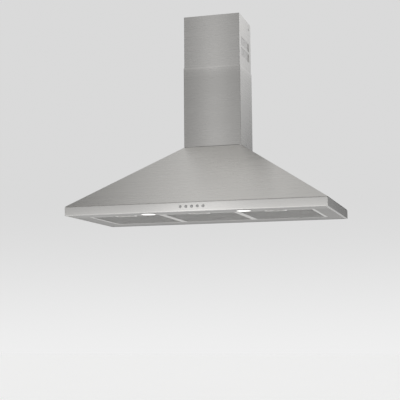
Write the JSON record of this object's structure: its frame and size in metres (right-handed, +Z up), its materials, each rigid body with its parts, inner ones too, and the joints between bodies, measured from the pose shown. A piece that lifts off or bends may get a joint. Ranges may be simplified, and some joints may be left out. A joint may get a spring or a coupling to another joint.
{
  "type": "chimney range hood",
  "caption": "Wall-mounted pyramid chimney range hood in brushed stainless steel with mesh grease filters, round lamps, front push buttons and a telescoping chimney.",
  "frame": {"origin": "on the wall plane, midway along the hood, level with the bottom edge of the rim", "axes": "+X along the wall to the right as seen from the front, +Y into the wall, +Z up"},
  "size_m": [0.9, 0.4516, 0.7413],
  "materials": {
    "brushed_stainless": "satin, horizontal grain",
    "galvanised": "galvanised, dull",
    "filter_aluminium": "satin",
    "filter_mesh": "expanded metal",
    "black_plastic": "moulded",
    "grey_plastic": "moulded",
    "motor_paint": "satin",
    "bright_steel": "bright",
    "button_metal": "satin chrome",
    "lamp_glass": "frosted, lit",
    "lamp_housing": "cast"
  },
  "bodies": {
    "hood": {"canopy_front_sheet": "brushed_stainless", "canopy_left_sheet": "brushed_stainless", "canopy_right_sheet": "brushed_stainless", "canopy_top_frame": "brushed_stainless", "canopy_base_frame": "brushed_stainless", "rim_band": "brushed_stainless", "back_panel": "galvanised", "underside_pan": "brushed_stainless", "support_bars": "galvanised", "button_guide": "black_plastic", "switch_block": "black_plastic", "blower_plate": "galvanised", "blower_housing": "grey_plastic", "outlet_adaptor": "grey_plastic", "outlet_collar": "black_plastic", "motor": "motor_paint", "motor_bracket": "galvanised", "control_box": "black_plastic", "control_box_lid": "black_plastic", "capacitor": "lamp_housing", "capacitor_clip": "galvanised", "cable_gland": "black_plastic", "chimney_lower": "brushed_stainless", "cover_tabs": "galvanised", "cover_screws": "bright_steel", "lamp_bezel_left": "bright_steel", "lamp_lens_left": "lamp_glass", "lamp_body_left": "lamp_housing", "lamp_bezel_right": "bright_steel", "lamp_lens_right": "lamp_glass", "lamp_body_right": "lamp_housing"},
    "upper_cover": {"chimney_upper": "brushed_stainless", "chimney_bracket": "galvanised", "bracket_screws": "bright_steel"},
    "fan": {"blower_wheel": "grey_plastic", "motor_shaft": "bright_steel", "shaft_nut": "bright_steel"},
    "front_flap": {"flap_front": "black_plastic"},
    "back_flap": {"flap_back": "black_plastic"},
    "left_filter": {"filter_frame_left": "filter_aluminium", "filter_mesh_left": "filter_mesh", "filter_grip_left": "brushed_stainless"},
    "left_latch": {"filter_latch_left": "bright_steel"},
    "centre_filter": {"filter_frame_centre": "filter_aluminium", "filter_mesh_centre": "filter_mesh", "filter_grip_centre": "brushed_stainless"},
    "centre_latch": {"filter_latch_centre": "bright_steel"},
    "right_filter": {"filter_frame_right": "filter_aluminium", "filter_mesh_right": "filter_mesh", "filter_grip_right": "brushed_stainless"},
    "right_latch": {"filter_latch_right": "bright_steel"},
    "push_button_1": {"button_1": "button_metal"},
    "push_button_2": {"button_2": "button_metal"},
    "push_button_3": {"button_3": "button_metal"},
    "push_button_4": {"button_4": "button_metal"},
    "push_button_5": {"button_5": "button_metal"}
  },
  "joints": [
    {"name": "upper_cover_height", "type": "slide", "parent": "hood", "child": "upper_cover", "axis": [0, 0, 1], "range_m": [-0.075, 0.13]},
    {"name": "fan_spin", "type": "hinge", "parent": "hood", "child": "fan", "pos_m": [0, -0.11, 0.132], "axis": [1, 0, 0], "continuous": true},
    {"name": "front_flap_hinge", "type": "hinge", "parent": "hood", "child": "front_flap", "pos_m": [0, -0.0935, 0.2694], "axis": [-1, 0, 0], "range_deg": [0, 80]},
    {"name": "back_flap_hinge", "type": "hinge", "parent": "hood", "child": "back_flap", "pos_m": [0, -0.0865, 0.2694], "axis": [1, 0, 0], "range_deg": [0, 80]},
    {"name": "left_filter_tilt", "type": "hinge", "parent": "hood", "child": "left_filter", "pos_m": [0, -0.0805, 0.001], "axis": [1, 0, 0], "range_deg": [0, 35]},
    {"name": "left_latch_slide", "type": "slide", "parent": "left_filter", "child": "left_latch", "axis": [0, 1, 0], "range_m": [0, 0.005], "stiffness_N_per_m": 400, "springref_m": -0.002},
    {"name": "centre_filter_tilt", "type": "hinge", "parent": "hood", "child": "centre_filter", "pos_m": [0, -0.0805, 0.001], "axis": [1, 0, 0], "range_deg": [0, 35]},
    {"name": "centre_latch_slide", "type": "slide", "parent": "centre_filter", "child": "centre_latch", "axis": [0, 1, 0], "range_m": [0, 0.005], "stiffness_N_per_m": 400, "springref_m": -0.002},
    {"name": "right_filter_tilt", "type": "hinge", "parent": "hood", "child": "right_filter", "pos_m": [0, -0.0805, 0.001], "axis": [1, 0, 0], "range_deg": [0, 35]},
    {"name": "right_latch_slide", "type": "slide", "parent": "right_filter", "child": "right_latch", "axis": [0, 1, 0], "range_m": [0, 0.005], "stiffness_N_per_m": 400, "springref_m": -0.002},
    {"name": "button_1_press", "type": "slide", "parent": "hood", "child": "push_button_1", "axis": [0, 1, 0], "range_m": [0, 0.0025], "stiffness_N_per_m": 800, "springref_m": -0.001},
    {"name": "button_2_press", "type": "slide", "parent": "hood", "child": "push_button_2", "axis": [0, 1, 0], "range_m": [0, 0.0025], "stiffness_N_per_m": 800, "springref_m": -0.001},
    {"name": "button_3_press", "type": "slide", "parent": "hood", "child": "push_button_3", "axis": [0, 1, 0], "range_m": [0, 0.0025], "stiffness_N_per_m": 800, "springref_m": -0.001},
    {"name": "button_4_press", "type": "slide", "parent": "hood", "child": "push_button_4", "axis": [0, 1, 0], "range_m": [0, 0.0025], "stiffness_N_per_m": 800, "springref_m": -0.001},
    {"name": "button_5_press", "type": "slide", "parent": "hood", "child": "push_button_5", "axis": [0, 1, 0], "range_m": [0, 0.0025], "stiffness_N_per_m": 800, "springref_m": -0.001}
  ]
}
